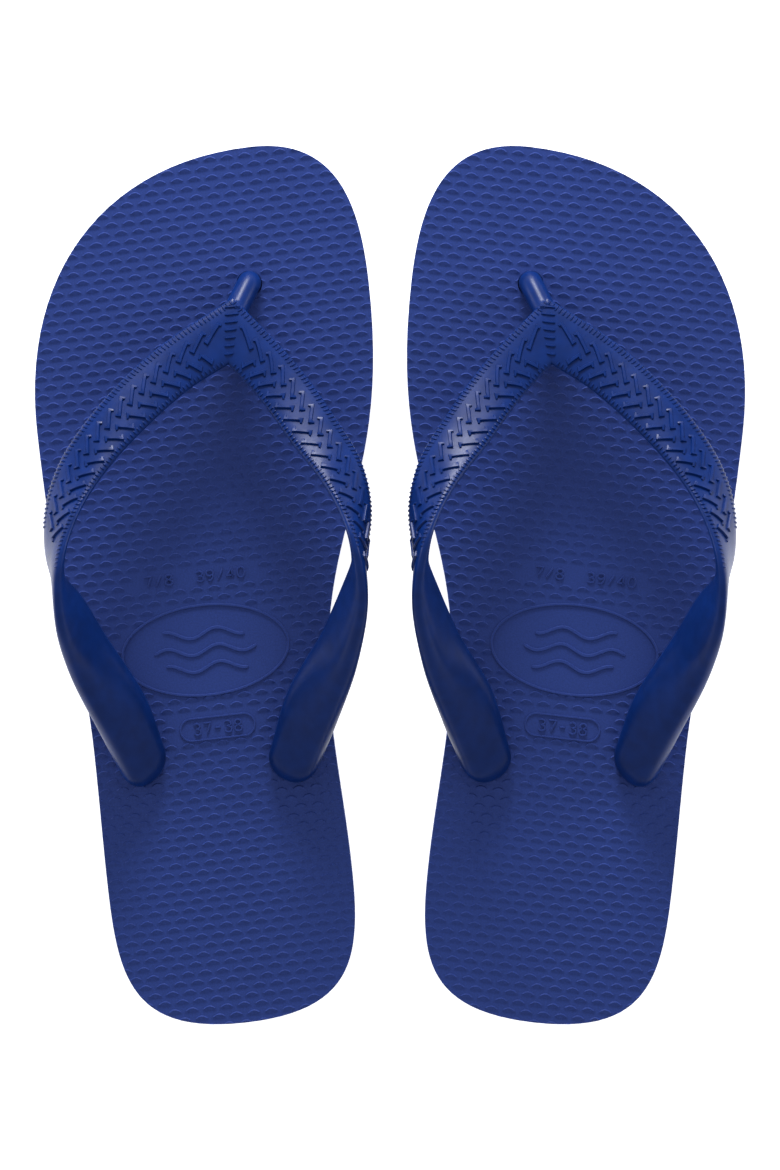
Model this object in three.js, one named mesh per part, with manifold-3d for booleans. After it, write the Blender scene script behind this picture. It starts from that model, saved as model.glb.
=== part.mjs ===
// A pair of thong sandals (flip flops): a flat two-layer foam rubber sole and a one-piece moulded rubber
// strap on each shoe. The strap's toe post and its two side pegs go down through the sole, and a wide
// head under each one sits in a recess of the outsole and holds it there.
//
// One shoe is drawn for the left foot in its own frame: the origin is under the back of the heel, +Y runs
// to the toes, +X to the inner side of the foot and +Z up. The right shoe is its mirror image.
// All sizes are in millimetres.
import * as THREE from "three";
import { mergeVertices } from "three/addons/utils/BufferGeometryUtils.js";
import Module from "manifold-3d";

const wasm = await Module();
wasm.setup();

// ---- Driving dimensions ----

// The sole's outline. Places on the rear half are measured from the back of the heel, and places on the
// fore half from the tip of the toe. Outer and inner are distances from the long axis.
const soleLength = 256;
const heelHalfWidth = 36;
const heelWidestAt = 44;
const waistOuter = 35.5;
const waistInner = 35;
const waistAt = 85;
const ballOuter = 41.5;
const ballFromTip = 76.5;
const toeInner = 60.5;
const toeInnerFromTip = 43;
const tipOffset = 30.5;

const footbedThickness = 7;
const outsoleThickness = 8;

// Where the strap goes through the sole.
const toeHole = { x: 25.5, y: soleLength - 40 };
const innerHole = { x: 22, y: 74 };
const outerHole = { x: -21.5, y: 79 };
const toePostDiameter = 7;
const sidePegDiameter = 8;
const pegClearance = 0.3;

// The heads under the sole, and the recesses that take them.
const headDiameter = 16;
const headThickness = 3;
const recessDepth = 4.5;
const headSideClearance = 1;

// Faces that rest on each other keep this gap.
const seatGap = 0.3;

// How the pair lies: toes turned out, with this much room between the soles.
const turnOut = THREE.MathUtils.degToRad(6.5);
const gapBetweenShoes = 10;

// The strap's two corners over the toes, from the toe hole and above the footbed.
const frontCorner = { x: -5, y: -4, up: 10 };
const rearNotch = { x: -8.5, y: -23.5, up: 15 };

// Each arm of the strap, from the toes back. A row is one cross-section: the front edge, the rear edge and
// the thickness. An edge is its place along the line from the toe hole (0) to the side hole (1), its
// distance outwards from that line, and its height above the footbed. The arm starts flat, stands on edge
// beside the foot with its rear edge on top, then leans out and fattens into a drop at the side hole.
const innerArm = [
  { front: [0.18, 12, 14.5], rear: [0.24, 0, 18.5], thickness: 3.2 },
  { front: [0.3, 22, 20.5], rear: [0.34, 8.5, 26], thickness: 3.2 },
  { front: [0.39, 28, 24.5], rear: [0.42, 16, 33.5], thickness: 3.4 },
  { front: [0.48, 29.5, 26.5], rear: [0.49, 21, 40], thickness: 3.6 },
  { front: [0.56, 27, 27.5], rear: [0.56, 24, 44.5], thickness: 4 },
  { front: [0.63, 21.5, 26], rear: [0.67, 25.5, 41.5], thickness: 5 },
  { front: [0.73, 13.5, 18], rear: [0.81, 20.5, 29], thickness: 7 },
  { front: [0.84, 2, 9], rear: [0.93, 13, 15.5], thickness: 9 },
  { front: [0.96, -5.5, 2], rear: [1.01, 7.5, 5], thickness: 9.5 },
];
const outerArm = [
  { front: [0.17, 21.5, 14.5], rear: [0.24, 10, 18.5], thickness: 3.2 },
  { front: [0.31, 34.5, 20.5], rear: [0.36, 22, 26], thickness: 3.2 },
  { front: [0.45, 42, 24.5], rear: [0.46, 29.5, 33], thickness: 3.4 },
  { front: [0.56, 42, 26.5], rear: [0.55, 33.5, 40], thickness: 3.6 },
  { front: [0.65, 37, 27.5], rear: [0.64, 34.5, 44.5], thickness: 4 },
  { front: [0.69, 28.5, 26], rear: [0.75, 31.5, 41.5], thickness: 5 },
  { front: [0.76, 19, 18], rear: [0.85, 24.5, 29], thickness: 7 },
  { front: [0.86, 4.5, 9], rear: [0.96, 12.5, 15.5], thickness: 9 },
  { front: [0.95, -4, 2], rear: [1.03, 5, 5], thickness: 9.5 },
];
const apexThickness = 3.2;
const postRise = 2; // the toe post stays upright this far above the footbed before it leans back
const dropReach = 8; // how far the round end of an arm runs past its last cross-section

// Mesh fineness.
const outlineSteps = 10;
const holeSides = 20;
const sectionSides = 16;
const ringsPerRow = 2;
const dropRings = 3;
const postSteps = 8;

// Values that follow from those above.
const footbedTop = outsoleThickness + footbedThickness;
const headTop = recessDepth - seatGap;
const headBottom = headTop - headThickness;

// ---- Solids and meshes ----

// A closed three.js geometry as a solid that can be cut and joined.
function toSolid(geometry) {
  const bare = new THREE.BufferGeometry();
  bare.setAttribute("position", geometry.getAttribute("position"));
  if (geometry.index) bare.setIndex(geometry.index);
  const merged = mergeVertices(bare, 1e-4);
  return new wasm.Manifold(
    new wasm.Mesh({
      numProp: 3,
      vertProperties: merged.getAttribute("position").array,
      triVerts: new Uint32Array(merged.index.array),
    }),
  );
}

// A solid as a flat-shaded three.js geometry.
function toGeometry(solid) {
  const mesh = solid.getMesh();
  const indexed = new THREE.BufferGeometry();
  indexed.setAttribute("position", new THREE.BufferAttribute(mesh.vertProperties, 3));
  indexed.setIndex(new THREE.BufferAttribute(mesh.triVerts, 1));
  const geometry = indexed.toNonIndexed();
  geometry.computeVertexNormals();
  return geometry;
}

// An upright cylinder from one height to another.
function uprightCylinder(at, diameter, bottom, top, sides = holeSides) {
  const geometry = new THREE.CylinderGeometry(diameter / 2, diameter / 2, top - bottom, sides);
  geometry.rotateX(Math.PI / 2);
  geometry.translate(at.x, at.y, (bottom + top) / 2);
  return toSolid(geometry);
}

// ---- The sole ----

// The outline's stations, clockwise from the back of the heel, with the way that the edge runs there.
const outlineStations = [
  { x: 0, y: 0, way: [-1, 0] },
  { x: -heelHalfWidth, y: heelWidestAt, way: [0, 1] },
  { x: -waistOuter, y: waistAt, way: [0, 1] },
  { x: -ballOuter, y: soleLength - ballFromTip, way: [0, 1] },
  { x: tipOffset, y: soleLength, way: [1, 0] },
  { x: toeInner, y: soleLength - toeInnerFromTip, way: [0, -1] },
  { x: waistInner, y: waistAt, way: [0, -1] },
  { x: heelHalfWidth, y: heelWidestAt, way: [0, -1] },
];
// How full each stretch is: its two handles as shares of the distance that the stretch covers their way.
const outlineFullness = [
  [0.94, 0.61], // outer side of the heel
  [0.34, 0.34], // outer side, nearly straight
  [0.37, 0.64], // outer side, waist to ball
  [0.59, 0.63], // round the small toes
  [0.83, 0.55], // round the big toe
  [0.5, 0.46], // arch
  [0.34, 0.34], // inner side, nearly straight
  [0.61, 0.94], // inner side of the heel
];

function soleShape() {
  const shape = new THREE.Shape();
  shape.moveTo(outlineStations[0].x, outlineStations[0].y);
  outlineStations.forEach((from, i) => {
    const to = outlineStations[(i + 1) % outlineStations.length];
    const span = [Math.abs(to.x - from.x), Math.abs(to.y - from.y)];
    const [leave, arrive] = outlineFullness[i];
    shape.bezierCurveTo(
      from.x + leave * span[0] * from.way[0],
      from.y + leave * span[1] * from.way[1],
      to.x - arrive * span[0] * to.way[0],
      to.y - arrive * span[1] * to.way[1],
      to.x,
      to.y,
    );
  });
  return shape;
}

const holes = [
  { at: toeHole, diameter: toePostDiameter },
  { at: innerHole, diameter: sidePegDiameter },
  { at: outerHole, diameter: sidePegDiameter },
];

// One layer of the sole, with the strap's three holes through it.
function soleLayer(bottom, thickness) {
  const geometry = new THREE.ExtrudeGeometry(soleShape(), {
    depth: thickness,
    bevelEnabled: false,
    curveSegments: outlineSteps,
  });
  geometry.translate(0, 0, bottom);
  let layer = toSolid(geometry);
  for (const { at, diameter } of holes) {
    const cutter = uprightCylinder(at, diameter + 2 * pegClearance, bottom - 1, bottom + thickness + 1);
    layer = layer.subtract(cutter);
  }
  return layer;
}

function footbed() {
  return soleLayer(outsoleThickness, footbedThickness);
}

function outsole() {
  const recessDiameter = headDiameter + 2 * headSideClearance;
  let layer = soleLayer(0, outsoleThickness);
  for (const { at } of holes) {
    layer = layer.subtract(uprightCylinder(at, recessDiameter, -1, recessDepth));
  }
  return layer;
}

// ---- The strap ----

// A point of an arm's edge in the shoe's frame. outwards is 1 on the inner side of the foot, -1 on the outer.
function armPoint([along, out, up], sideHole, outwards) {
  const line = new THREE.Vector2(sideHole.x - toeHole.x, sideHole.y - toeHole.y);
  const across = new THREE.Vector2(-line.y, line.x).normalize().multiplyScalar(outwards);
  return new THREE.Vector3(
    toeHole.x + line.x * along + across.x * out,
    toeHole.y + line.y * along + across.y * out,
    footbedTop + up,
  );
}

function apexPoint({ x, y, up }) {
  return new THREE.Vector3(toeHole.x + x, toeHole.y + y, footbedTop + up);
}

// An arm's cross-sections from the apex to the side hole, with rows added between those of the table.
function armRings(rows, sideHole, outwards) {
  const front = [apexPoint(frontCorner), ...rows.map((row) => armPoint(row.front, sideHole, outwards))];
  const rear = [apexPoint(rearNotch), ...rows.map((row) => armPoint(row.rear, sideHole, outwards))];
  const thickness = [apexThickness, ...rows.map((row) => row.thickness)];
  const frontEdge = new THREE.CatmullRomCurve3(front);
  const rearEdge = new THREE.CatmullRomCurve3(rear);
  const count = rows.length * ringsPerRow;
  const rings = [];
  for (let i = 0; i <= count; i++) {
    const place = (i / count) * rows.length;
    const row = Math.min(Math.floor(place), rows.length - 1);
    rings.push({
      front: frontEdge.getPoint(i / count),
      rear: rearEdge.getPoint(i / count),
      thickness: THREE.MathUtils.lerp(thickness[row], thickness[row + 1], place - row),
    });
  }
  return rings;
}

const centreOf = (ring) => ring.front.clone().lerp(ring.rear, 0.5);

// The points round one cross-section. along is the way from the outer side hole to the inner one.
function sectionPoints(centre, halfWidth, along, thickness) {
  const faceNormal = along.clone().cross(halfWidth).normalize();
  const points = [];
  for (let i = 0; i < sectionSides; i++) {
    const angle = (i / sectionSides) * 2 * Math.PI;
    const flatness = 0.75; // under 1 squares the ellipse off, so that the band has broad faces
    const across = Math.sign(Math.cos(angle)) * Math.abs(Math.cos(angle)) ** flatness;
    const through = Math.sign(Math.sin(angle)) * Math.abs(Math.sin(angle)) ** flatness;
    points.push(
      centre
        .clone()
        .addScaledVector(halfWidth, across)
        .addScaledVector(faceNormal, (through * thickness) / 2),
    );
  }
  return points;
}

// The round end past an arm's last cross-section: rings that shrink along the way the arm runs.
function dropEnd(last, away, along) {
  const halfWidth = last.rear.clone().sub(last.front).multiplyScalar(0.5);
  const rings = [];
  for (let i = 1; i <= dropRings; i++) {
    const angle = (i / (dropRings + 0.5)) * (Math.PI / 2);
    const shrink = Math.cos(angle);
    const centre = centreOf(last).addScaledVector(away, dropReach * Math.sin(angle));
    const half = halfWidth.clone().multiplyScalar(shrink);
    rings.push(sectionPoints(centre, half, along, last.thickness * shrink));
  }
  return { rings, tip: centreOf(last).addScaledVector(away, dropReach) };
}

// The band from the outer side hole over the toes to the inner side hole, as one closed skin.
function bandSolid() {
  const outer = armRings(outerArm, outerHole, -1);
  const inner = armRings(innerArm, innerHole, 1);
  const rings = [...outer.reverse(), ...inner.slice(1)];
  const centres = rings.map(centreOf);
  const sections = rings.map((ring, i) => {
    const before = centres[Math.max(i - 1, 0)];
    const after = centres[Math.min(i + 1, centres.length - 1)];
    const along = after.clone().sub(before).normalize();
    const halfWidth = ring.rear.clone().sub(ring.front).multiplyScalar(0.5);
    return sectionPoints(centres[i], halfWidth, along, ring.thickness);
  });

  const startWay = centres[0].clone().sub(centres[1]).normalize();
  const endWay = centres.at(-1).clone().sub(centres.at(-2)).normalize();
  const start = dropEnd(rings[0], startWay, startWay.clone().negate());
  const end = dropEnd(rings.at(-1), endWay, endWay);
  return loft([...start.rings.reverse(), ...sections, ...end.rings], start.tip, end.tip);
}

// A closed skin through a list of cross-sections, with a point at each end.
function loft(sections, startTip, endTip) {
  const vertices = [...sections.flat(), startTip, endTip];
  const sides = sections[0].length;
  const startIndex = sections.length * sides;
  const endIndex = startIndex + 1;
  const lastRow = (sections.length - 1) * sides;
  const faces = [];
  for (let side = 0; side < sides; side++) {
    const next = (side + 1) % sides;
    faces.push(startIndex, next, side);
    faces.push(endIndex, lastRow + side, lastRow + next);
    for (let row = 0; row < sections.length - 1; row++) {
      const a = row * sides + side;
      const b = row * sides + next;
      faces.push(a, b, a + sides);
      faces.push(b, b + sides, a + sides);
    }
  }
  const geometry = new THREE.BufferGeometry().setFromPoints(vertices);
  geometry.setIndex(faces);
  return toSolid(geometry);
}

// The toe post: upright in the sole, then leaning back to the underside of the apex.
function toePost() {
  const apexFoot = { x: frontCorner.x - 0.8, y: frontCorner.y - 5.5, up: frontCorner.up + 1.3 };
  const at = (x, y, z) => new THREE.Vector3(toeHole.x + x, toeHole.y + y, z);
  const path = new THREE.CatmullRomCurve3([
    at(0, 0, headTop - 1),
    at(0, 0, footbedTop),
    at(0, 0, footbedTop + postRise),
    at(apexFoot.x * 0.95, apexFoot.y * 0.95, footbedTop + apexFoot.up * 0.85),
    at(apexFoot.x, apexFoot.y, footbedTop + apexFoot.up),
  ]);
  const section = new THREE.Shape();
  section.absarc(0, 0, toePostDiameter / 2, 0, 2 * Math.PI);
  const geometry = new THREE.ExtrudeGeometry(section, {
    steps: postSteps,
    curveSegments: holeSides / 2,
    extrudePath: path,
    bevelEnabled: false,
  });
  return toSolid(geometry);
}

// A head under the sole: a disc with its lower edge rounded off.
function head(at) {
  const radius = headDiameter / 2;
  const edge = headThickness / 2;
  const profile = [
    new THREE.Vector2(0, headBottom),
    new THREE.Vector2(radius - edge, headBottom),
    new THREE.Vector2(radius - edge * 0.3, headBottom + edge * 0.3),
    new THREE.Vector2(radius, headBottom + edge),
    new THREE.Vector2(radius, headTop),
    new THREE.Vector2(0, headTop),
  ];
  const geometry = new THREE.LatheGeometry(profile, holeSides);
  geometry.rotateX(Math.PI / 2);
  geometry.translate(at.x, at.y, 0);
  return toSolid(geometry);
}

function strap() {
  const roomy = 2 * soleLength;
  const belowSeat = new THREE.BoxGeometry(roomy, roomy, roomy);
  belowSeat.translate(0, 0, footbedTop + seatGap - roomy / 2);
  let solid = bandSolid().subtract(toSolid(belowSeat)).add(toePost());
  for (const at of [innerHole, outerHole]) {
    const rootInDrop = footbedTop + 4;
    solid = solid.add(uprightCylinder(at, sidePegDiameter, headTop - 1, rootInDrop));
  }
  for (const { at } of holes) solid = solid.add(head(at));
  return solid;
}

// ---- Materials ----

const soleRubber = new THREE.MeshStandardMaterial({ color: 0x2a4193, roughness: 0.75, metalness: 0 });
const strapRubber = new THREE.MeshStandardMaterial({ color: 0x1a459f, roughness: 0.45, metalness: 0 });

// ---- The pair ----

const pieces = [
  { name: "footbed", geometry: toGeometry(footbed()), material: soleRubber },
  { name: "outsole", geometry: toGeometry(outsole()), material: soleRubber },
  { name: "strap", geometry: toGeometry(strap()), material: strapRubber },
];

function shoe(side) {
  const group = new THREE.Group();
  for (const { name, geometry, material } of pieces) {
    const mesh = new THREE.Mesh(geometry, material);
    mesh.name = `${side}_${name}`;
    group.add(mesh);
  }
  group.rotation.z = turnOut;
  const box = new THREE.Box3().setFromObject(group, true);
  group.position.x = -gapBetweenShoes / 2 - box.max.x;
  group.position.y = -(box.min.y + box.max.y) / 2;
  return group;
}

const pair = new THREE.Group();
pair.add(shoe("left"));
const mirrored = new THREE.Group();
mirrored.scale.x = -1;
mirrored.add(shoe("right"));
pair.add(mirrored);

export default pair;
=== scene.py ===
"""A pair of moulded rubber flip flops: grained footbeds, treaded outsoles and patterned one-piece straps."""

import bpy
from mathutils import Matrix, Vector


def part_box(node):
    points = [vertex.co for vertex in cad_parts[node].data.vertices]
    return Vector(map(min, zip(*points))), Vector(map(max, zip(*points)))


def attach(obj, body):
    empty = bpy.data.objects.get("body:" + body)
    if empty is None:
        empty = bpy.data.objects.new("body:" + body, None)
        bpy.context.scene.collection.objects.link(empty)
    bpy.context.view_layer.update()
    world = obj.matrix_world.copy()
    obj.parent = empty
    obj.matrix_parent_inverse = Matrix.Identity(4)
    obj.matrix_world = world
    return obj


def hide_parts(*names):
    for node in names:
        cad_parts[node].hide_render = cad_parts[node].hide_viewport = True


bl_info = {
    "name": "Flip Flops",
    "version": (1, 0, 0),
    "blender": (4, 5, 0),
    "location": "View3D > Sidebar > Flip Flops",
    "description": "Builds a pair of rubber flip flops with grained footbeds and patterned straps",
    "category": "Add Mesh",
}

import math

import bmesh
import bpy
import numpy as np
from bpy.props import FloatProperty, PointerProperty, StringProperty
from mathutils import Matrix, Vector

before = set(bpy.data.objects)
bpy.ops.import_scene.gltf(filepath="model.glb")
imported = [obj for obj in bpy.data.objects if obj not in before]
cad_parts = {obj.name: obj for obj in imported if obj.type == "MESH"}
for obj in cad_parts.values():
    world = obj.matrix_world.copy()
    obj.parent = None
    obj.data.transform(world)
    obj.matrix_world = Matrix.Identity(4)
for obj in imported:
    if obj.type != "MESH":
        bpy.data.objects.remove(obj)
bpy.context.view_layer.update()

MM = 0.001
SIDES = ("left", "right")

# ---- Sizes, in millimetres, in the left shoe's own frame: origin under the back of the heel, +Y to the
# ---- toes, +X to the inner side of the foot. The right shoe is its mirror image.

SOLE_LENGTH = 256.0
OUTSOLE_TOP = 8.0
FOOTBED_TOP = 15.0
TURN_OUT = math.radians(6.5)

# Stations of the outline, clockwise from the back of the heel: place, then the way that the edge runs.
OUTLINE = (
    ((0, 0), (-1, 0)),
    ((-36, 44), (0, 1)),
    ((-35.5, 85), (0, 1)),
    ((-41.5, SOLE_LENGTH - 76.5), (0, 1)),
    ((30.5, SOLE_LENGTH), (1, 0)),
    ((60.5, SOLE_LENGTH - 43), (0, -1)),
    ((35, 85), (0, -1)),
    ((36, 44), (0, -1)),
)
# Each stretch's two handles, as shares of the distance that the stretch covers their way. These and the
# stations above are rounded results of a least-squares fit to a measured outline.
FULLNESS = (
    (0.94, 0.61),
    (0.34, 0.34),
    (0.37, 0.64),
    (0.59, 0.63),
    (0.83, 0.55),
    (0.5, 0.46),
    (0.34, 0.34),
    (0.61, 0.94),
)

TOE_HOLE = np.array((25.5, SOLE_LENGTH - 40))
INNER_HOLE = np.array((22.0, 74.0))
OUTER_HOLE = np.array((-21.5, 79.0))
HOLES = ((TOE_HOLE, 7.6), (INNER_HOLE, 8.6), (OUTER_HOLE, 8.6))
POST_DIAMETER = 7.0
PEG_DIAMETER = 8.0
HEAD_DIAMETER = 16.0
HEAD_SPAN = (1.2, 4.2)
RECESS_DIAMETER = 18.0
RECESS_DEPTH = 4.5

# The badge, the pill and the size line on the footbed. No grain is centred inside a mark or its margin.
BADGE = {"centre": (0.5, 110.3), "half": (24.5, 13.25), "margin": (1.3, 0.7)}
PILL = {"centre": (1.5, 87.3), "half": (11.0, 3.25), "margin": (1.2, 0.6)}
SIZE_LINE = {"centre": (-0.3, 132.0), "half": (18.5, 2.2), "margin": (0.8, 0.4)}

# The strap's corners, from the toe hole and above the footbed.
FRONT_CORNER = np.array((-5.0, -4.0, 10.0))
REAR_NOTCH = np.array((-8.5, -23.5, 15.0))
APEX_THICKNESS = 3.2
DROP_REACH = 8.0
# Rows of each arm from the toes back: front edge, rear edge (place along the line from the toe hole to the
# side hole, distance outwards, height above the footbed), thickness.
INNER_ARM = (
    ((0.18, 12, 14.5), (0.24, 0, 18.5), 3.2),
    ((0.30, 22, 20.5), (0.34, 8.5, 26), 3.2),
    ((0.39, 28, 24.5), (0.42, 16, 33.5), 3.4),
    ((0.48, 29.5, 26.5), (0.49, 21, 40), 3.6),
    ((0.56, 27, 27.5), (0.56, 24, 44.5), 4.0),
    ((0.63, 21.5, 26), (0.67, 25.5, 41.5), 5.0),
    ((0.73, 13.5, 18), (0.81, 20.5, 29), 7.0),
    ((0.84, 2, 9), (0.93, 13, 15.5), 9.0),
    ((0.96, -5.5, 2), (1.01, 7.5, 5), 9.5),
)
OUTER_ARM = (
    ((0.17, 21.5, 14.5), (0.24, 10, 18.5), 3.2),
    ((0.31, 34.5, 20.5), (0.36, 22, 26), 3.2),
    ((0.45, 42, 24.5), (0.46, 29.5, 33), 3.4),
    ((0.56, 42, 26.5), (0.55, 33.5, 40), 3.6),
    ((0.65, 37, 27.5), (0.64, 34.5, 44.5), 4.0),
    ((0.69, 28.5, 26), (0.75, 31.5, 41.5), 5.0),
    ((0.76, 19, 18), (0.85, 24.5, 29), 7.0),
    ((0.86, 4.5, 9), (0.96, 12.5, 15.5), 9.0),
    ((0.95, -4, 2), (1.03, 5, 5), 9.5),
)

# Numerals as pen strokes in a box one unit wide and one high.
STROKES = {
    "0": [
        (0.5, 1), (0.15, 0.88), (0, 0.5), (0.15, 0.12), (0.5, 0),
        (0.85, 0.12), (1, 0.5), (0.85, 0.88), (0.52, 1),
    ],
    "3": [
        (0.05, 0.87), (0.45, 1), (0.88, 0.85), (0.85, 0.62), (0.45, 0.53),
        (0.93, 0.42), (0.95, 0.14), (0.5, 0), (0.05, 0.14),
    ],
    "4": [(0.72, 0), (0.72, 1), (0, 0.3), (1, 0.3)],
    "7": [(0, 1), (1, 1), (0.4, 0)],
    "8": [
        (0.5, 0.54), (0.12, 0.66), (0.15, 0.9), (0.5, 1), (0.85, 0.9), (0.88, 0.66), (0.52, 0.54),
        (0.95, 0.38), (0.92, 0.1), (0.5, 0), (0.08, 0.1), (0.05, 0.38), (0.48, 0.54),
    ],
    "9": [
        (0.92, 0.66), (0.6, 0.46), (0.2, 0.5), (0.03, 0.75), (0.2, 0.95),
        (0.6, 1), (0.92, 0.85), (0.9, 0.4), (0.65, 0.05), (0.15, 0.02),
    ],
    "-": [(0.1, 0.5), (0.9, 0.5)],
    "/": [(0.1, -0.05), (0.9, 1.05)],
}
ROUND_NUMERALS = "0389"


# ---- Settings ----


def length_setting(name, description, millimetres):
    return FloatProperty(name=name, description=description, default=millimetres * MM, unit="LENGTH")


def colour_setting(name, description, hex_colour):
    return StringProperty(name=name, description=description, default=hex_colour)


class FlipFlopFootbed(bpy.types.PropertyGroup):
    """The grain of the footbed"""

    pitch: length_setting("Grain pitch", "Distance between grains across the shoe", 5.15)
    row: length_setting("Row spacing", "Distance between rows of grains", 2.67)
    length: length_setting("Grain length", "Length of one grain", 3.7)
    width: length_setting("Grain width", "Width of one grain", 1.8)
    height: length_setting("Grain height", "How far a grain stands up", 0.45)


class FlipFlopTread(bpy.types.PropertyGroup):
    """The tread under the outsole"""

    pitch: length_setting("Groove pitch", "Distance between grooves", 6.0)
    width: length_setting("Groove width", "Width of one groove", 1.4)
    depth: length_setting("Groove depth", "Depth of one groove", 1.0)


class FlipFlopStrap(bpy.types.PropertyGroup):
    """The raised pattern of the strap"""

    bar_step: length_setting("Bar step", "Distance between herringbone bars", 4.9)
    bar_length: length_setting("Bar length", "Length of a bar's stem", 5.4)
    bar_width: length_setting("Bar width", "Width of a bar", 1.2)
    bar_height: length_setting("Bar height", "How far a bar stands up", 0.65)
    rib_step: length_setting("Rib step", "Distance between the edge ribs", 1.35)


class FlipFlopFinish(bpy.types.PropertyGroup):
    """Colours of the rubbers and of the studio"""

    footbed: colour_setting("Footbed colour", "sRGB hex colour of the footbed rubber", "#1F3578")
    outsole: colour_setting("Outsole colour", "sRGB hex colour of the outsole rubber", "#213680")
    strap: colour_setting("Strap colour", "sRGB hex colour of the strap rubber", "#07245F")
    floor: colour_setting("Floor colour", "sRGB hex colour of the floor", "#FBFBFB")


# ---- Curves ----


def outline_points(steps=26):
    """The sole's outline as a clockwise ring of points."""
    points = []
    for i, (start, way) in enumerate(OUTLINE):
        end, end_way = OUTLINE[(i + 1) % len(OUTLINE)]
        span = (abs(end[0] - start[0]), abs(end[1] - start[1]))
        leave, arrive = FULLNESS[i]
        handles = np.array(
            (
                start,
                (start[0] + leave * span[0] * way[0], start[1] + leave * span[1] * way[1]),
                (end[0] - arrive * span[0] * end_way[0], end[1] - arrive * span[1] * end_way[1]),
                end,
            )
        )
        for k in range(steps):
            t = k / steps
            weights = ((1 - t) ** 3, 3 * t * (1 - t) ** 2, 3 * t * t * (1 - t), t**3)
            points.append(np.dot(weights, handles))
    return np.array(points)


def smooth_curve(points, place):
    """A point on the centripetal Catmull-Rom curve through points, where point number n is at place n."""
    points = np.asarray(points, float)
    i = min(int(place), len(points) - 2)
    t = place - i
    x1, x2 = points[i], points[i + 1]
    x0 = points[i - 1] if i > 0 else 2 * x1 - x2
    x3 = points[i + 2] if i + 2 < len(points) else 2 * x2 - x1
    d0, d1, d2 = (max(np.linalg.norm(b - a), 1e-6) ** 0.5 for a, b in ((x0, x1), (x1, x2), (x2, x3)))
    m1 = ((x1 - x0) / d0 - (x2 - x0) / (d0 + d1) + (x2 - x1) / d1) * d1
    m2 = ((x2 - x1) / d1 - (x3 - x1) / (d1 + d2) + (x3 - x2) / d2) * d1
    return x1 + m1 * t + (3 * (x2 - x1) - 2 * m1 - m2) * t**2 + (2 * (x1 - x2) + m1 + m2) * t**3


def unit(v):
    return v / np.linalg.norm(v)


# ---- Solids ----


# A bar's ends are lower and narrower than its middle, by these shares; its corners are mitred up to a limit.
BAR_END_WIDTH = 0.6
BAR_END_HEIGHT = 0.55
SHARPEST_MITRE = 0.7


class Solid:
    """A growing list of points and faces, in millimetres."""

    def __init__(self):
        self.points = []
        self.faces = []

    def add(self, points, faces):
        base = len(self.points)
        self.points.extend(map(tuple, points))
        self.faces.extend(tuple(base + k for k in face) for face in faces)

    def loft(self, rings, closed=False):
        """A skin through rings that run anticlockwise, seen from the last ring back to the first."""
        sides = len(rings[0])
        count = len(rings)
        faces = []
        for r in range(count if closed else count - 1):
            after = (r + 1) % count
            for k in range(sides):
                n = (k + 1) % sides
                faces.append((r * sides + k, r * sides + n, after * sides + n, after * sides + k))
        if not closed:
            faces.append(tuple(reversed(range(sides))))
            faces.append(tuple((count - 1) * sides + k for k in range(sides)))
        self.add([p for ring in rings for p in ring], faces)

    def bar(self, path, normals, width, height, sink=0.35, closed=False):
        """A low bar with a rounded top along path; normals point out of the surface it lies on."""
        path = np.asarray(path, float)
        count = len(path)
        rings = []
        for i in range(count):
            before = path[i - 1] if closed or i else path[0]
            after = path[(i + 1) % count] if closed or i < count - 1 else path[-1]
            end = not closed and i in (0, count - 1)
            way = unit(after - before) if end else unit(unit(after - path[i]) + unit(path[i] - before))
            side = unit(np.cross(way, normals[i]))
            turn = 1 if end else np.dot(way, unit(after - path[i]))
            half = width / 2 * (BAR_END_WIDTH if end else 1 / max(turn, SHARPEST_MITRE))
            top = height * (BAR_END_HEIGHT if end else 1)
            shoulder = top * 0.4
            profile = ((-1, -sink), (-0.92, shoulder), (-0.6, top), (0.6, top), (0.92, shoulder), (1, -sink))
            rings.append([path[i] + side * half * x + normals[i] * y for x, y in profile])
        self.loft(rings, closed)

    def disc(self, centre, profile, sides=48):
        """A turned solid: profile is (radius, height) pairs from the bottom to the top."""
        rings = []
        x, y = centre
        for radius, height in profile:
            angles = [2 * math.pi * k / sides for k in range(sides)]
            rings.append([(x + radius * math.cos(a), y + radius * math.sin(a), height) for a in angles])
        self.loft(rings)

    def prism(self, outline, bottom, top):
        """An upright solid; outline is clockwise."""
        ring = [tuple(p) for p in reversed(outline)]
        self.loft([[(x, y, z) for x, y in ring] for z in (bottom, top)])

    def object(self, name):
        mesh = bpy.data.meshes.new(name)
        mesh.from_pydata([Vector(p) * MM for p in self.points], [], self.faces)
        shown = bpy.data.objects.new(name, mesh)
        bpy.context.scene.collection.objects.link(shown)
        return shown


def combine(target, tool, operation):
    """Joins tool to target, cuts it from target or keeps what they share, and removes tool."""
    modifier = target.modifiers.new("combine", "BOOLEAN")
    modifier.operation = operation
    modifier.solver = "MANIFOLD"
    modifier.object = tool
    bpy.context.view_layer.update()
    graph = bpy.context.evaluated_depsgraph_get()
    mesh = bpy.data.meshes.new_from_object(target.evaluated_get(graph), depsgraph=graph)
    if not mesh.polygons or len(mesh.polygons) == len(target.data.polygons):
        raise RuntimeError(f"{target.name}: {operation} with {tool.name} changed nothing")
    target.modifiers.clear()
    old = target.data
    target.data = mesh
    bpy.data.meshes.remove(old)
    bpy.data.objects.remove(tool)


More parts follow.
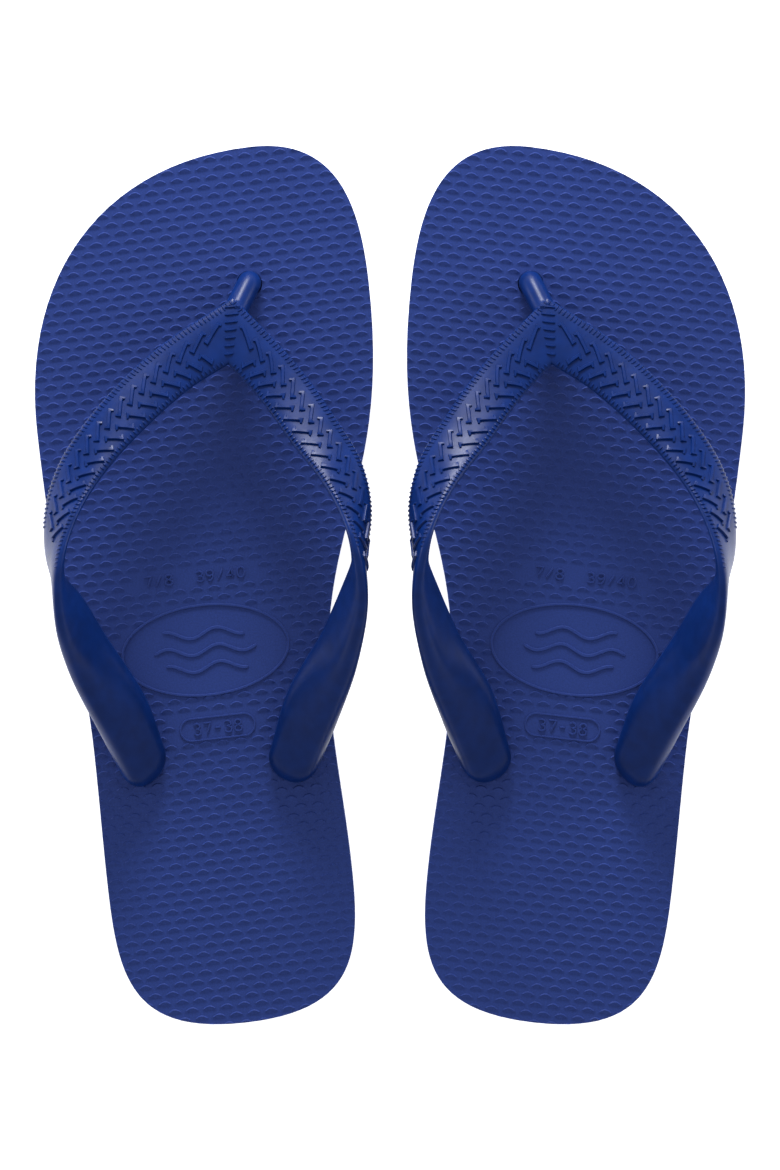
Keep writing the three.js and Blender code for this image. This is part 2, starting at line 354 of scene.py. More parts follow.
def settle(shown, side, node, material, sharp_angle):
    """Puts a finished piece, built in the left shoe's own frame, where it belongs on its shoe."""
    c, s = math.cos(TURN_OUT), math.sin(TURN_OUT)
    x, y = (outline_points() @ np.array(((c, s), (-s, c)))).T
    low, high = (Vector(corner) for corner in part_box("left_footbed"))
    middle = (low + high) / 2
    move = Vector((middle.x - (x.min() + x.max()) / 2 * MM, middle.y - (y.min() + y.max()) / 2 * MM, 0))
    matrix = Matrix.Translation(move) @ Matrix.Rotation(TURN_OUT, 4, "Z")
    mesh = shown.data
    if side == "right":
        matrix = Matrix.Scale(-1, 4, (1, 0, 0)) @ matrix
    mesh.transform(matrix)
    if side == "right":
        mesh.flip_normals()
    work = bmesh.new()
    work.from_mesh(mesh)
    bmesh.ops.triangulate(work, faces=[f for f in work.faces if len(f.verts) > 4])
    work.to_mesh(mesh)
    work.free()
    mesh.shade_smooth()
    mesh.set_sharp_from_angle(angle=sharp_angle)
    mesh.materials.clear()
    mesh.materials.append(material)
    shown.name = f"{side}_{node}_detail"
    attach(shown, f"{side}_shoe")
    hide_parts(f"{side}_{node}")


# ---- Materials ----


def linear(hex_colour):
    """An sRGB hex colour as linear red, green, blue and alpha."""
    parts = [int(hex_colour[i : i + 2], 16) / 255 for i in (1, 3, 5)]
    return [c / 12.92 if c <= 0.04045 else ((c + 0.055) / 1.055) ** 2.4 for c in parts] + [1.0]


def add_node(tree, kind, settings=None, inputs=None, links=None):
    """Adds a node. settings are its own attributes, inputs are socket values, links join sockets to it."""
    node = tree.nodes.new(kind)
    for key, value in (settings or {}).items():
        setattr(node, key, value)
    for key, value in (inputs or {}).items():
        node.inputs[key].default_value = value
    for key, socket in (links or {}).items():
        tree.links.new(socket, node.inputs[key])
    return node


def shade(colour, factor):
    return [c * factor for c in colour[:3]] + [1.0]


def new_material(name):
    material = bpy.data.materials.new(name)
    material.use_nodes = True
    material.node_tree.nodes.clear()
    return material, material.node_tree


def noise(tree, place, width, detail, roughness=0.5):
    """Noise with features about width millimetres wide."""
    inputs = {"Scale": 1 / (width * MM), "Detail": detail, "Roughness": roughness}
    return add_node(tree, "ShaderNodeTexNoise", inputs=inputs, links={"Vector": place.outputs["Object"]})


def remap(tree, source, low, high, to_low=0.0, to_high=1.0):
    """Stretches values between low and high to lie between to_low and to_high."""
    inputs = {"From Min": low, "From Max": high, "To Min": to_low, "To Max": to_high}
    return add_node(tree, "ShaderNodeMapRange", inputs=inputs, links={"Value": source})


# The colour mixing node's sockets have shared names, so they are picked by number.
RGBA = {"data_type": "RGBA"}
FIRST, SECOND, MIXED = 6, 7, 2


def finish_rubber(tree, inputs, colour, rough, bump):
    """Joins colour, roughness and bump to the rubber's surface."""
    links = {"Base Color": colour.outputs[MIXED], "Roughness": rough.outputs["Result"]}
    links["Normal"] = bump.outputs["Normal"]
    surface = add_node(tree, "ShaderNodeBsdfPrincipled", inputs=inputs, links=links)
    add_node(tree, "ShaderNodeOutputMaterial", links={"Surface": surface.outputs["BSDF"]})


def expanded_rubber(name, colour, grit, relief):
    """Expanded rubber sheet, moulded: matte, with the fine speckle of its foam cells and a faint haze."""
    material, tree = new_material(name)
    place = add_node(tree, "ShaderNodeTexCoord")
    # The foam's cells are about 0.2 mm; they are drawn about 0.5 mm wide so that they show.
    cells = noise(tree, place, grit, 4.0, 0.7)
    # Slow patches about 30 mm across, where the sheet took the pigment unevenly.
    patches = noise(tree, place, 30, 2.0)
    speckle = remap(tree, cells.outputs["Fac"], 0.3, 0.72)
    tones = {FIRST: shade(colour, 0.78), SECOND: shade(colour, 1.25)}
    fine = add_node(tree, "ShaderNodeMix", RGBA, tones, {"Factor": speckle.outputs["Result"]})
    slow = remap(tree, patches.outputs["Fac"], 0.3, 0.7, 0.0, 0.18)
    links = {"Factor": slow.outputs["Result"], FIRST: fine.outputs[MIXED]}
    mixed = add_node(tree, "ShaderNodeMix", RGBA, {SECOND: shade(colour, 1.45)}, links)
    rough = remap(tree, speckle.outputs["Result"], 0.0, 1.0, 0.62, 0.5)
    inputs = {"Strength": relief, "Distance": 0.12 * MM}
    bump = add_node(tree, "ShaderNodeBump", inputs=inputs, links={"Height": cells.outputs["Fac"]})
    inputs = {"IOR": 1.5, "Specular IOR Level": 0.25}
    inputs |= {"Sheen Weight": 0.06, "Sheen Roughness": 0.5, "Sheen Tint": (0.62, 0.66, 0.9, 1)}
    finish_rubber(tree, inputs, mixed, rough, bump)
    return material


def moulded_rubber(name, colour):
    """Solid rubber from a polished mould: deeper and glossier than the sole, with soft highlights."""
    material, tree = new_material(name)
    place = add_node(tree, "ShaderNodeTexCoord")
    # The mould's polish leaves waves a few millimetres long.
    waves = noise(tree, place, 4, 3.0)
    # Bloom on the rubber: a fine dull film in specks about 0.6 mm wide.
    bloom = noise(tree, place, 0.6, 3.0, 0.6)
    tone = remap(tree, waves.outputs["Fac"], 0.35, 0.65)
    tones = {FIRST: shade(colour, 0.9), SECOND: shade(colour, 1.12)}
    mixed = add_node(tree, "ShaderNodeMix", RGBA, tones, {"Factor": tone.outputs["Result"]})
    rough = remap(tree, bloom.outputs["Fac"], 0.3, 0.7, 0.28, 0.38)
    inputs = {"Strength": 0.12, "Distance": 0.1 * MM}
    bump = add_node(tree, "ShaderNodeBump", inputs=inputs, links={"Height": waves.outputs["Fac"]})
    finish_rubber(tree, {"IOR": 1.52, "Specular IOR Level": 0.14}, mixed, rough, bump)
    return material


def studio_floor(colour):
    """White acrylic lit from behind, as on a light table: even and matte, so that it shows no shadow."""
    material, tree = new_material("backlit_acrylic")
    place = add_node(tree, "ShaderNodeTexCoord")
    tooth = noise(tree, place, 2, 2.0)
    tones = {FIRST: shade(colour, 0.99), SECOND: colour}
    mixed = add_node(tree, "ShaderNodeMix", RGBA, tones, {"Factor": tooth.outputs["Fac"]})
    inputs = {"Roughness": 0.9, "Emission Color": (1, 1, 1, 1), "Emission Strength": 0.85}
    links = {"Base Color": mixed.outputs[MIXED]}
    surface = add_node(tree, "ShaderNodeBsdfPrincipled", inputs=inputs, links=links)
    add_node(tree, "ShaderNodeOutputMaterial", links={"Surface": surface.outputs["BSDF"]})
    return material


# ---- Footbed ----


def shares_of(mark, x, y):
    """How far a point is from a mark's centre, as shares of the half size of its blank ground."""
    return [abs(p - c) / (h + m) for p, c, h, m in zip((x, y), mark["centre"], mark["half"], mark["margin"])]


def blank_at(x, y):
    """True where the footbed has a badge, a pill or numerals in place of grains."""
    across, along = shares_of(BADGE, x, y)
    boxed = any(max(shares_of(mark, x, y)) < 1 for mark in (PILL, SIZE_LINE))
    return across**2 + along**2 < 1 or boxed


# A grain's blunt ends, how pointed it is, the bevel round its top, and the height of the middle of its
# sloping top as a share of the full height.
GRAIN_END = 0.86
GRAIN_POINT = 0.85
GRAIN_BEVEL = np.array((0.36, 0.26))
GRAIN_MIDDLE = 0.6


def grain_block(settings, outline):
    """A block whose top is the grained surface: rows of lens-shaped pads, every other row shifted."""
    pitch, row = settings.pitch / MM, settings.row / MM
    length, width, height = settings.length / MM, settings.width / MM, settings.height / MM
    ground = FOOTBED_TOP - height
    cuts = 6
    edge = [(1 - 2 * k / cuts, 1) for k in range(cuts + 1)] + [(-1, 0)]
    edge += [(-1 + 2 * k / cuts, -1) for k in range(cuts + 1)] + [(1, 0)]
    lens = []
    for across, along in edge:
        if along == 0:
            lens.append((across, 0.0))
        else:
            a = across * GRAIN_END
            lens.append((a, along * (1 - a * a) ** GRAIN_POINT))
    lens = np.array(lens)
    edge = np.array(edge) * (pitch / 2, row / 2)
    top_half = np.array((length / 2, width / 2)) - GRAIN_BEVEL
    levels = ((lens * (length / 2, width / 2), 0), (lens * top_half, 1), (lens * top_half * 0.5, 1))
    sides = len(edge)
    points, faces, shared = [], [], {}

    def shared_point(x, y):
        key = (round(x * 100), round(y * 100))
        if key not in shared:
            shared[key] = len(points)
            points.append((x, y, ground))
        return shared[key]

    low, high = outline.min(0), outline.max(0)
    columns = range(int(low[0] / pitch) - 1, int(high[0] / pitch) + 2)
    for r in range(int(low[1] / row) - 1, int(high[1] / row) + 3):
        for c in columns:
            x, y = (c + 0.5 * (r % 2)) * pitch, r * row
            rings = [[shared_point(x + a, y + b) for a, b in edge]]
            pad = not blank_at(x, y)
            if pad:
                for ring, raised in levels:
                    rings.append(list(range(len(points), len(points) + sides)))
                    for a, b in ring:
                        # The pad's top slopes down from its toe side to its heel side.
                        share = GRAIN_MIDDLE + (1 - GRAIN_MIDDLE) * b / top_half[1]
                        points.append((x + a, y + b, ground + raised * height * share))
            middle = len(points)
            points.append((x, y, ground + height * GRAIN_MIDDLE if pad else ground))
            for outer, inner in zip(rings, rings[1:]):
                for k in range(sides):
                    n = (k + 1) % sides
                    faces.append((outer[k], outer[n], inner[n], inner[k]))
            for k in range(sides):
                faces.append((rings[-1][k], rings[-1][(k + 1) % sides], middle))

    block = Solid()
    block.add(points, faces)
    shown = block.object("grain_block")
    work = bmesh.new()
    work.from_mesh(shown.data)
    rim = [e for e in work.edges if e.is_boundary]
    made = bmesh.ops.extrude_edge_only(work, edges=rim)["geom"]
    for vertex in (g for g in made if isinstance(g, bmesh.types.BMVert)):
        vertex.co.z = (OUTSOLE_TOP - 2) * MM
    bmesh.ops.contextual_create(work, geom=[e for e in work.edges if e.is_boundary])
    bmesh.ops.recalc_face_normals(work, faces=work.faces)
    work.to_mesh(shown.data)
    work.free()
    return shown


def hole_cutters(bottom, top, diameters):
    cutters = Solid()
    for (centre, _), diameter in zip(HOLES, diameters):
        cutters.disc(centre, ((diameter / 2, bottom), (diameter / 2, top)))
    return cutters.object("hole_cutters")


def ellipse_loop(centre, half, steps=96):
    """A closed ring of points round an ellipse."""
    angles = [2 * math.pi * k / steps for k in range(steps)]
    return [(centre[0] + half[0] * math.cos(a), centre[1] + half[1] * math.sin(a)) for a in angles]


def pill_loop(centre, half, steps=16):
    """A closed ring of points with straight long sides and round ends."""
    straight = half[0] - half[1]
    loop = []
    for end, start in ((1, -math.pi / 2), (-1, math.pi / 2)):
        for k in range(steps + 1):
            a = start + math.pi * k / steps
            x = centre[0] + end * straight + half[1] * math.cos(a)
            loop.append((x, centre[1] + half[1] * math.sin(a)))
    return loop


UP = np.array((0, 0, 1.0))
# Numerals: distance from one to the next as a share of a numeral's width, then stroke width and height.
NUMERAL_STEP = 1.45
STROKE_WIDTH = 0.55
STROKE_HEIGHT = 0.5
NUMERAL_WIDTH = 2.1
# Width and height of the raised lines of the badge's rim, the pill and the waves.
RIM_LINE = (0.8, 0.5)
PILL_LINE = (0.55, 0.4)
WAVE_LINE = (1.1, 0.45)
# The waves in the badge: distance apart, height of a crest, and length for each radian of the wave.
WAVE_GAP = 5.0
WAVE_CREST = 1.3
WAVE_LENGTH = 2.4


def write_numerals(solid, text, centre, size, ground, mirrored):
    """Numerals as low raised strokes; mirrored ones read correctly on the mirrored shoe."""
    step = size[0] * NUMERAL_STEP
    sign = -1 if mirrored else 1
    for i, mark in enumerate(text):
        if mark == " ":
            continue
        left = (i - (len(text) - 1) / 2) * step - size[0] / 2
        corners = [np.array((left + u * size[0], (v - 0.5) * size[1])) for u, v in STROKES[mark]]
        if mark in ROUND_NUMERALS:
            spots = [smooth_curve(corners, k / 2) for k in range(2 * len(corners) - 1)]
        else:
            spots = []
            for a, b in zip(corners, corners[1:]):
                spots.extend((a, a + (b - a) * 0.12, a + (b - a) * 0.88))
            spots.append(corners[-1])
        path = [(centre[0] + sign * p[0], centre[1] + p[1], ground) for p in spots]
        solid.bar(path, [UP] * len(path), STROKE_WIDTH, STROKE_HEIGHT, sink=0.3)


def footbed_marks(ground, mirrored):
    """The raised badge rim with waves inside, the pill with its size and the size line."""
    marks = Solid()
    rim = [(x, y, ground) for x, y in ellipse_loop(BADGE["centre"], BADGE["half"])]
    marks.bar(rim, [UP] * len(rim), *RIM_LINE, closed=True)
    pill = [(x, y, ground) for x, y in pill_loop(PILL["centre"], PILL["half"])]
    marks.bar(pill, [UP] * len(pill), *PILL_LINE, closed=True)
    middle_x, middle_y = BADGE["centre"]
    for number in (-1, 0, 1):
        reach = 15.0 if number == 0 else 12.0
        path = []
        for x in np.linspace(-reach, reach, 49):
            y = middle_y + WAVE_GAP * number + WAVE_CREST * math.sin(x / WAVE_LENGTH)
            path.append((middle_x + x, y, ground))
        marks.bar(path, [UP] * len(path), *WAVE_LINE)
    write_numerals(marks, "37-38", PILL["centre"], (NUMERAL_WIDTH, 3.4), ground, mirrored)
    write_numerals(marks, "7/8  39/40", SIZE_LINE["centre"], (NUMERAL_WIDTH, 3.0), ground, mirrored)
    return marks.object("footbed_marks")


class FLIPFLOP_OT_footbeds(bpy.types.Operator):
    """Make both footbeds, with their grain, badge, pill and size numerals"""

    bl_idname = "flipflop.footbeds"
    bl_label = "Footbeds"

    def execute(self, context):
        settings = context.scene.flipflop_footbed
        colour = linear(context.scene.flipflop_finish.footbed)
        material = expanded_rubber("expanded_rubber_footbed", colour, grit=0.5, relief=0.35)
        outline = outline_points()
        ground = FOOTBED_TOP - settings.height / MM
        for side in SIDES:
            footbed = grain_block(settings, outline)
            sheet = Solid()
            sheet.prism(outline, OUTSOLE_TOP, FOOTBED_TOP + 2)
            combine(footbed, sheet.object("sheet"), "INTERSECT")
            combine(footbed, footbed_marks(ground, side == "right"), "UNION")
            combine(footbed, hole_cutters(0, 20, [d for _, d in HOLES]), "DIFFERENCE")
            settle(footbed, side, "footbed", material, math.radians(42))
        return {"FINISHED"}


# ---- Outsole ----


# The grooves' wave: height, length, and the clear ground round a recess. They run past both edges of
# the sole.
GROOVE_CREST = 1.6
GROOVE_WAVE = 14
RECESS_MARGIN = 2.5
GROOVE_REACH = (-62, 76)
GROOVE_STEP = 1.5


def groove_solids(settings):
    """Wavy grooves across the tread, broken round the three recesses."""
    grooves = Solid()
    pitch, width, depth = settings.pitch / MM, settings.width / MM, settings.depth / MM
    clear = RECESS_DIAMETER / 2 + RECESS_MARGIN
    places = np.arange(*GROOVE_REACH, GROOVE_STEP)
    for number in range(1, int(SOLE_LENGTH / pitch) + 1):
        stretch = []
        for x in places:
            y = number * pitch + GROOVE_CREST * math.sin(2 * math.pi * x / GROOVE_WAVE)
            near = any(math.hypot(x - c[0], y - c[1]) < clear for c, _ in HOLES)
            if not near:
                stretch.append((x, y, depth))
            if near or x == places[-1]:
                if len(stretch) > 3:
                    grooves.bar(stretch, [UP] * len(stretch), width, 0.0, sink=depth + 1)
                stretch = []
    return grooves.object("grooves")


class FLIPFLOP_OT_outsoles(bpy.types.Operator):
    """Make both outsoles, with their tread and the recesses for the strap's heads"""

    bl_idname = "flipflop.outsoles"
    bl_label = "Outsoles"

    def execute(self, context):
        settings = context.scene.flipflop_tread
        colour = linear(context.scene.flipflop_finish.outsole)
        material = expanded_rubber("expanded_rubber_outsole", colour, grit=0.6, relief=0.5)
        outline = outline_points()
        for side in SIDES:
            slab = Solid()
            slab.prism(outline, 0, OUTSOLE_TOP)
            outsole = slab.object("outsole")
            combine(outsole, hole_cutters(-1, 20, [d for _, d in HOLES]), "DIFFERENCE")
            combine(outsole, hole_cutters(-1, RECESS_DEPTH, [RECESS_DIAMETER] * 3), "DIFFERENCE")
            combine(outsole, groove_solids(settings), "DIFFERENCE")
            settle(outsole, side, "outsole", material, math.radians(35))
        return {"FINISHED"}


# ---- Strap ----

SECTION_SIDES = 36
RINGS_PER_ROW = 12
DROP_RINGS = 9
# The power that rounds a cross-section: 1 is an ellipse, and less is squarer.
SQUARENESS = 0.75
# Bars stay inside this share of the half width.
WIDEST_SHARE = 0.97


def round_square(angle):
    """A point of a unit cross-section: its share across and its share through the thickness."""
    return [math.copysign(abs(v) ** SQUARENESS, v) for v in (math.cos(angle), math.sin(angle))]


class Arm:
    """One arm of the strap as fine rows of cross-sections from the apex to the side hole."""

    def __init__(self, rows, side_hole, outwards):
        line = side_hole - TOE_HOLE
        across = unit(np.array((-line[1], line[0]))) * outwards

        def spot(place):
            flat = TOE_HOLE + line * place[0] + across * place[1]
            return np.array((flat[0], flat[1], FOOTBED_TOP + place[2]))

        base = np.array((TOE_HOLE[0], TOE_HOLE[1], FOOTBED_TOP))
        front = [base + FRONT_CORNER] + [spot(row[0]) for row in rows]
        rear = [base + REAR_NOTCH] + [spot(row[1]) for row in rows]
        thickness = [APEX_THICKNESS] + [row[2] for row in rows]
        self.place = np.linspace(0, len(rows), len(rows) * RINGS_PER_ROW + 1)
        self.front = np.array([smooth_curve(front, p) for p in self.place])
        self.rear = np.array([smooth_curve(rear, p) for p in self.place])
        self.thickness = np.interp(self.place, range(len(rows) + 1), thickness)
        self.centre = (self.front + self.rear) / 2
        self.half = (self.rear - self.front) / 2
        ways = np.gradient(self.centre, axis=0) * outwards
        self.top = np.array([unit(np.cross(h, w)) for h, w in zip(self.half, ways)])

    def place_at(self, length, share):
        """The place at a distance from the apex, along the line at a share of the width from -1 to 1."""
        line = self.centre + self.half * share
        lengths = np.concatenate(((0,), np.cumsum(np.linalg.norm(np.diff(line, axis=0), axis=1))))
        return np.interp(length, lengths, self.place)

    def squaring(self, place, share, angle):
        """How far a point moves along the arm, so that a line to it leaves the edge squarely."""
        edge = self.front if share < 0 else self.rear
        speed = (self.read(edge, place + 0.05) - self.read(edge, place - 0.05)) / 0.1
        half = self.read(self.half, place)
        inward = abs(abs(math.cos(angle)) ** SQUARENESS - 1) * np.linalg.norm(half)
        return share * inward * np.dot(unit(half), unit(speed)) / np.linalg.norm(speed)

    def skin(self, place, angle):
        """A point of the top face and its outward normal; angle is 0 at the rear edge, pi at the front."""
        point = self.point(place, angle)
        along = self.point(place + 0.02, angle) - self.point(place - 0.02, angle)
        round_it = self.point(place, angle + 0.03) - self.point(place, angle - 0.03)
        normal = unit(np.cross(along, round_it))
        outward = point - self.read(self.centre, place)
        return point, normal if np.dot(normal, outward) > 0 else -normal

    def read(self, values, place):
        return np.array([np.interp(place, self.place, column) for column in values.T])

    def point(self, place, angle):
        across, through = round_square(angle)
        thickness = np.interp(place, self.place, self.thickness)
        flat = self.read(self.centre, place) + self.read(self.half, place) * across
        return flat + self.read(self.top, place) * through * thickness / 2


def angle_at(share):
    """The section angle on the top face at a share of the half width, kept off the very edge."""
    share = max(-WIDEST_SHARE, min(WIDEST_SHARE, share))
    return math.acos(math.copysign(abs(share) ** (1 / SQUARENESS), share))


def section(centre, half, way, thickness):
    """The points round one cross-section."""
    normal = unit(np.cross(way, half))
    ring = []
    for k in range(SECTION_SIDES):
        across, through = round_square(2 * math.pi * k / SECTION_SIDES)
        ring.append(centre + half * across + normal * through * thickness / 2)
    return ring


def round_end(centre, half, thickness, away, way):
    """Shrinking cross-sections that close the end of an arm in a round drop."""
    rings = []
    for i in range(1, DROP_RINGS + 1):
        # The last ring stays just short of the tip, so that it has a width.
        angle = i / (DROP_RINGS + 0.4) * math.pi / 2
        moved = centre + away * DROP_REACH * math.sin(angle)
        rings.append(section(moved, half * math.cos(angle), way, thickness * math.cos(angle)))
    return rings


def band_object(outer, inner):
    """The band from the outer side hole over the toes to the inner side hole."""
    centre = np.concatenate((outer.centre[::-1], inner.centre[1:]))
    half = np.concatenate((outer.half[::-1], inner.half[1:]))
    thickness = np.concatenate((outer.thickness[::-1], inner.thickness[1:]))
    last = len(centre) - 1
    rings = []
    for i in range(last + 1):
        way = unit(centre[min(i + 1, last)] - centre[max(i - 1, 0)])
        rings.append(section(centre[i], half[i], way, thickness[i]))
    start, end = unit(centre[0] - centre[1]), unit(centre[last] - centre[last - 1])
    first = round_end(centre[0], half[0], thickness[0], start, -start)
    final = round_end(centre[last], half[last], thickness[last], end, end)
    band = Solid()
    band.loft(first[::-1] + rings + final)
    return band.object("band")


# The toe post: how far it stays upright above the footbed, where it ends from the front corner, the share of
# its way where it turns up into the band, and its mesh.
POST_RISE = 2
POST_END = np.array((-0.8, -5.5, 1.3))
POST_TURN = (0.95, 0.95, 0.85)
POST_STEPS = 40
POST_SIDES = 32


def post_object():
    """The toe post: upright in the sole, then leaning back into the underside of the apex."""
    foot = FRONT_CORNER + POST_END
    base = np.array((TOE_HOLE[0], TOE_HOLE[1], 0.0))
    seat = base + (0, 0, FOOTBED_TOP)
    path = [
        base + (0, 0, HEAD_SPAN[1] - 1),
        seat,
        seat + (0, 0, POST_RISE),
        seat + foot * POST_TURN,
        seat + foot,
    ]
    spots = [smooth_curve(path, k / POST_STEPS * (len(path) - 1)) for k in range(POST_STEPS + 1)]
    angles = [2 * math.pi * k / POST_SIDES for k in range(POST_SIDES)]
    rings = []
    side = np.array((1.0, 0, 0))
    for i, spot in enumerate(spots):
        way = unit(spots[min(i + 1, POST_STEPS)] - spots[max(i - 1, 0)])
        side = unit(side - way * np.dot(side, way))
        other = np.cross(way, side)
        round_it = [side * math.cos(a) + other * math.sin(a) for a in angles]
        rings.append([spot + arm * POST_DIAMETER / 2 for arm in round_it])
    post = Solid()
    post.loft(rings)
    return post.object("post")


# How far a side peg runs up into its drop, and how far the post's neck is inside the post.
PEG_RISE = 4
NECK_INSET = 0.4


def plug_object():
    """The side pegs and the three wide heads under the sole."""
    plugs = Solid()
    radius, (bottom, top) = HEAD_DIAMETER / 2, HEAD_SPAN
    dome = [(radius - 3.2, bottom), (radius - 1.2, bottom + 0.25), (radius - 0.35, bottom + 0.9)]
    dome += [(radius, bottom + 1.7), (radius - 0.1, top - 0.4), (radius - 0.5, top)]
    peg = (PEG_DIAMETER / 2, FOOTBED_TOP + PEG_RISE)
    neck = (POST_DIAMETER / 2 - NECK_INSET, OUTSOLE_TOP)
    for centre, (inner_radius, rise) in ((TOE_HOLE, neck), (INNER_HOLE, peg), (OUTER_HOLE, peg)):
        plugs.disc(centre, dome + [(inner_radius, top), (inner_radius, rise)])
    return plugs.object("plugs")


# The herringbone's bars, front row then rear row: distance of the first bar from the apex, share of the half
# width, lean and share of the full length.
BAR_ROWS = (
    (6.2, -0.23, math.radians(40), 1),
    (9.6, 0.46, math.radians(-50), 0.92),
)
BARS_PER_ROW = 16
BAR_HOOK = 1.25
# The ribs, at the front edge then the rear edge: the side, and the section angles of both ends, as shares
# of pi. Their height fades from the second value to the first.
RIB_EDGES = ((-1, (0.9, 0.72)), (1, (0.09, 0.23)))
RIB_WIDTH = 0.62
RIB_HEIGHTS = (0.05, 0.32)
FIRST_RIB = 1.6
RIBBED_LENGTH = 92
# Places along an arm where the ribs start to fade, and where they end.
RIBS_FADE_FROM = 4.2
RIBS_FADE_OVER = 1.2
RIBS_END = 5.1
# The ladder over the apex: rungs, share of the half width of the first one and from one to the next.
RUNGS = 7
FIRST_RUNG = -0.66
RUNG_STEP = 0.235
RUNG_REACH = (0.11, 0.085, 0.05, 0.02)
RUNG_LINE = (0.75, 0.45)


def hooked_bar(solid, arm, settings, length, share, lean, reach):
    """One herringbone bar: a stem at an angle, lean, to the arm, with a short hook back at each end."""
    stem = reach / 2
    tall = lean / abs(lean)
    ahead = np.array((math.cos(lean), math.sin(lean)))
    beside = np.array((math.sin(abs(lean)), -tall * math.cos(lean)))
    tip, end = ahead * stem + beside * BAR_HOOK, ahead * stem
    path, normals = [], []
    for corner in (-tip, -end, -end / 2, np.zeros(2), end / 2, end, tip):
        place = arm.place_at(length + corner[0], 0)
        half_width = np.linalg.norm(arm.read(arm.half, place))
        point, normal = arm.skin(place, angle_at(share + corner[1] / half_width))
        path.append(point)
        normals.append(normal)
    solid.bar(path, normals, settings.bar_width / MM, settings.bar_height / MM)


def add_ribs(relief, arm, rib_step):
    """The fine ribs along both edges of an arm, which fade out towards the drop."""
    low, high = RIB_HEIGHTS
    for share, (start, finish) in RIB_EDGES:
        angles = np.linspace(start, finish, 6) * math.pi
        for number in range(int(RIBBED_LENGTH / rib_step)):
            place = arm.place_at(FIRST_RIB + number * rib_step, share)
            if place > RIBS_END:
                break
            fade = 1 - max(0, place - RIBS_FADE_FROM) / RIBS_FADE_OVER
            spots = [arm.skin(place + arm.squaring(place, share, a), a) for a in angles]
            path, normals = zip(*spots)
            relief.bar(path, normals, RIB_WIDTH, low + (high - low) * fade, sink=0.25)


def add_ladder(relief, outer, inner):
    """Short bars across the apex, from one arm to the other."""
    for number in range(RUNGS):
        level = outer.point(0, angle_at(FIRST_RUNG + number * RUNG_STEP))
        path, normals = [], []
        for arm, places in ((outer, RUNG_REACH), (inner, RUNG_REACH[::-1])):
            for place in places:
                centre, half = arm.read(arm.centre, place), arm.read(arm.half, place)
                # A place just inside the arm, so that the skin can be read on both sides of it.
                point, normal = arm.skin(max(place, 0.021), angle_at((level[1] - centre[1]) / half[1]))
                path.append(point)
                normals.append(normal)
        relief.bar(path, normals, *RUNG_LINE, sink=0.3)


def pattern_object(outer, inner, settings):
    """The raised herringbone, the ladder of short bars over the apex and the ribs along both edges."""
    relief = Solid()
    step, reach = settings.bar_step / MM, settings.bar_length / MM
    for arm in (outer, inner):
        for number in range(BARS_PER_ROW):
            for first, share, lean, part in BAR_ROWS:
                hooked_bar(relief, arm, settings, first + number * step, share, lean, reach * part)
        add_ribs(relief, arm, settings.rib_step / MM)
    add_ladder(relief, outer, inner)
    return relief.object("pattern")


# How far the drops sink into the grain, so that no gap shows under them.
SEAT_SINK = 0.5


class FLIPFLOP_OT_straps(bpy.types.Operator):
    """Make both straps: band, toe post, pegs and heads in one skin, with the raised pattern"""

    bl_idname = "flipflop.straps"
    bl_label = "Straps"

    def execute(self, context):
        settings = context.scene.flipflop_strap
        material = moulded_rubber("moulded_rubber_strap", linear(context.scene.flipflop_finish.strap))
        outer, inner = Arm(OUTER_ARM, OUTER_HOLE, -1), Arm(INNER_ARM, INNER_HOLE, 1)
        for side in SIDES:
            strap = band_object(outer, inner)
            below = Solid()
            below.prism([(-200, -50), (-200, 400), (200, 400), (200, -50)], -60, FOOTBED_TOP - SEAT_SINK)
            combine(strap, below.object("below_seat"), "DIFFERENCE")
            combine(strap, pattern_object(outer, inner, settings), "UNION")
            combine(strap, plug_object(), "UNION")
            combine(strap, post_object(), "UNION")
            settle(strap, side, "strap", material, math.radians(48))
        return {"FINISHED"}


# ---- Stage ----


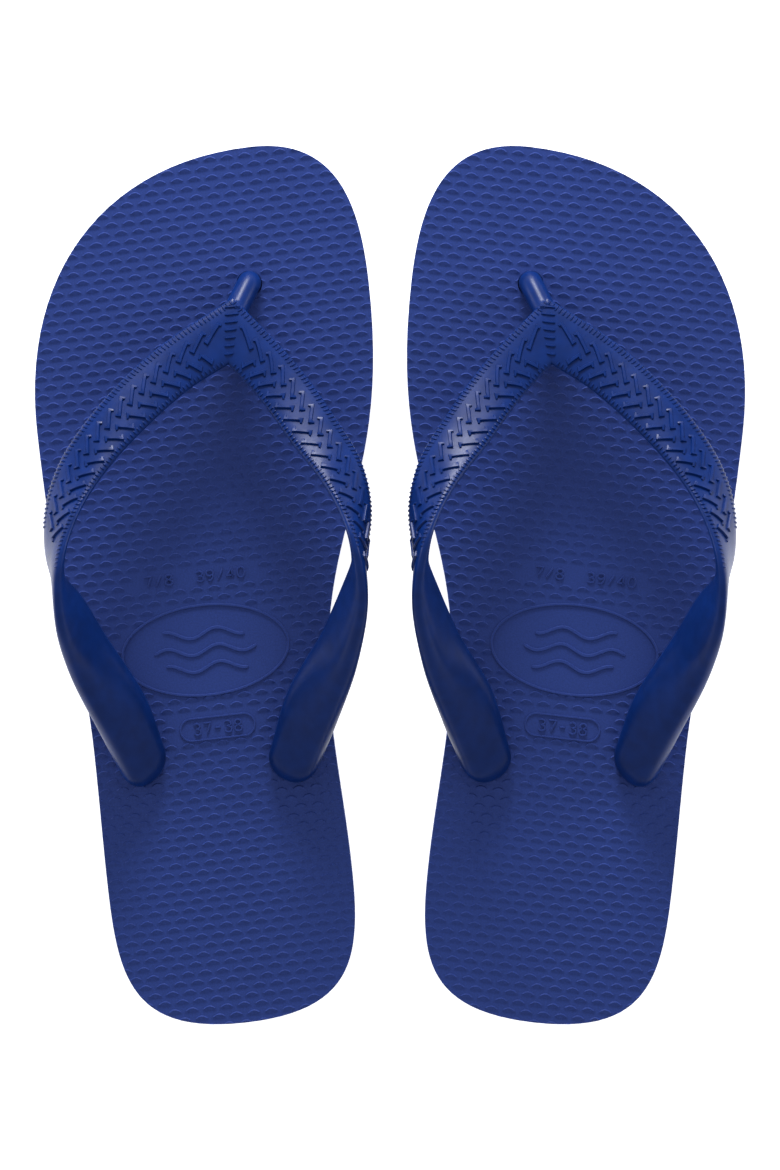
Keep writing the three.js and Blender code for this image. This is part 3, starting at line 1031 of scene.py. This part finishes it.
class FLIPFLOP_OT_stage(bpy.types.Operator):
    """Make the floor, the studio light and the camera"""

    bl_idname = "flipflop.stage"
    bl_label = "Stage"

    def execute(self, context):
        scene = context.scene
        mesh = bpy.data.meshes.new("floor")
        reach = 6.0
        corners = [(x * reach, y * reach, 0) for x, y in ((-1, -1), (1, -1), (1, 1), (-1, 1))]
        mesh.from_pydata(corners, [], [(0, 1, 2, 3)])
        floor = bpy.data.objects.new("floor", mesh)
        floor.location.z = -0.0005
        scene.collection.objects.link(floor)
        mesh.materials.append(studio_floor(linear(scene.flipflop_finish.floor)))

        world = bpy.data.worlds.new("studio")
        world.use_nodes = True
        background = world.node_tree.nodes["Background"]
        background.inputs["Color"].default_value = (0.96, 0.98, 1.0, 1.0)
        background.inputs["Strength"].default_value = 0.63
        scene.world = world
        scene.view_settings.view_transform = "Standard"

        for name, place, size, power in (
            ("key_beyond_toes", (-0.05, 0.85, 0.28), 0.32, 10.5),
            ("rim_left", (-1.05, 0.35, 0.25), 0.35, 2.5),
            ("rim_right", (1.05, 0.35, 0.25), 0.35, 2.5),
        ):
            lamp = bpy.data.lights.new(name, "AREA")
            lamp.shape = "DISK"
            lamp.size = size
            lamp.energy = power
            shown = bpy.data.objects.new(name, lamp)
            shown.location = place
            shown.rotation_euler = (Vector((0, 0, 0)) - Vector(place)).to_track_quat("-Z", "Y").to_euler()
            scene.collection.objects.link(shown)

        # Straight down onto the pair; the footbeds are seen 344.3 mm high in the frame.
        distance, view_height = 2.0, 0.3443
        lens = bpy.data.cameras.new("camera")
        lens.sensor_width = 36.0
        lens.lens = lens.sensor_width * distance / view_height
        camera = bpy.data.objects.new("camera", lens)
        camera.location = (0, 0, distance + FOOTBED_TOP * MM)
        lens.clip_end = 50
        scene.collection.objects.link(camera)
        scene.camera = camera
        return {"FINISHED"}


# ---- Panel and registration ----


class FLIPFLOP_PT_panel(bpy.types.Panel):
    """Builds the pair piece by piece"""

    bl_idname = "FLIPFLOP_PT_panel"
    bl_label = "Flip Flops"
    bl_space_type = "VIEW_3D"
    bl_region_type = "UI"
    bl_category = "Flip Flops"

    def draw(self, context):
        for operator in OPERATORS:
            self.layout.operator(operator.bl_idname)
        for name, group in SETTINGS:
            box = self.layout.box()
            box.label(text=group.__doc__)
            for key in group.__annotations__:
                box.prop(getattr(context.scene, name), key)


OPERATORS = (FLIPFLOP_OT_footbeds, FLIPFLOP_OT_outsoles, FLIPFLOP_OT_straps, FLIPFLOP_OT_stage)
SETTINGS = (
    ("flipflop_footbed", FlipFlopFootbed),
    ("flipflop_tread", FlipFlopTread),
    ("flipflop_strap", FlipFlopStrap),
    ("flipflop_finish", FlipFlopFinish),
)


def register():
    for name, group in SETTINGS:
        bpy.utils.register_class(group)
        setattr(bpy.types.Scene, name, PointerProperty(type=group))
    for item in (*OPERATORS, FLIPFLOP_PT_panel):
        bpy.utils.register_class(item)


def unregister():
    for item in (FLIPFLOP_PT_panel, *reversed(OPERATORS)):
        bpy.utils.unregister_class(item)
    for name, group in reversed(SETTINGS):
        delattr(bpy.types.Scene, name)
        bpy.utils.unregister_class(group)


def main():
    register()
    bpy.ops.flipflop.stage()
    bpy.ops.flipflop.footbeds()
    bpy.ops.flipflop.outsoles()
    bpy.ops.flipflop.straps()


if __name__ == "__main__":
    main()
